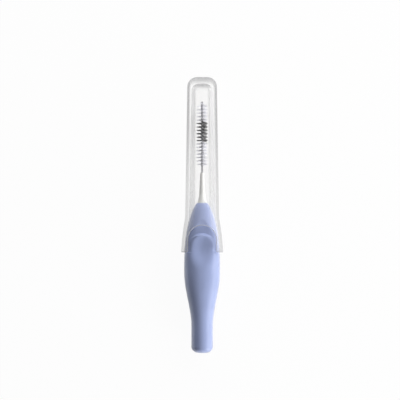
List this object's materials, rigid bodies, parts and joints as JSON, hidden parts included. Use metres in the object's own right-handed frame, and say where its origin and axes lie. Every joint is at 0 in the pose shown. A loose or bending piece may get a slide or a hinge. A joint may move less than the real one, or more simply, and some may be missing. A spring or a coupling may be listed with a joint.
{
  "type": "interdental brush",
  "caption": "Slim hand brush for cleaning between teeth: a moulded handle with thumb pads, a slender neck, a twisted-wire brush and a clear push-on cap with an arched mouth.",
  "frame": {"origin": "below the middle of the capped brush, on the surface that it lies on", "axes": "+Y from the tail to the brush tip and the closed end of the cap, +Z out of the front thumb pad, +X to the right seen from the front with the tip up"},
  "size_m": [0.0108, 0.0718, 0.0078],
  "materials": {
    "handle_lavender": "satin",
    "core_white": "smooth",
    "wire_steel": "bright drawn",
    "filament_pale": "fine nylon",
    "filament_dark": "fine nylon",
    "cap_clear": "clear polished"
  },
  "bodies": {
    "handle": {"grip": "handle_lavender", "core": "core_white", "wire": "wire_steel", "base_filaments": "filament_pale", "dark_filaments": "filament_dark", "tip_filaments": "filament_pale"},
    "cap": {"cap": "cap_clear"}
  },
  "joints": [
    {"name": "cap_slide", "type": "slide", "parent": "handle", "child": "cap", "axis": [0, 1, 0], "range_m": [0, 0.045]}
  ]
}
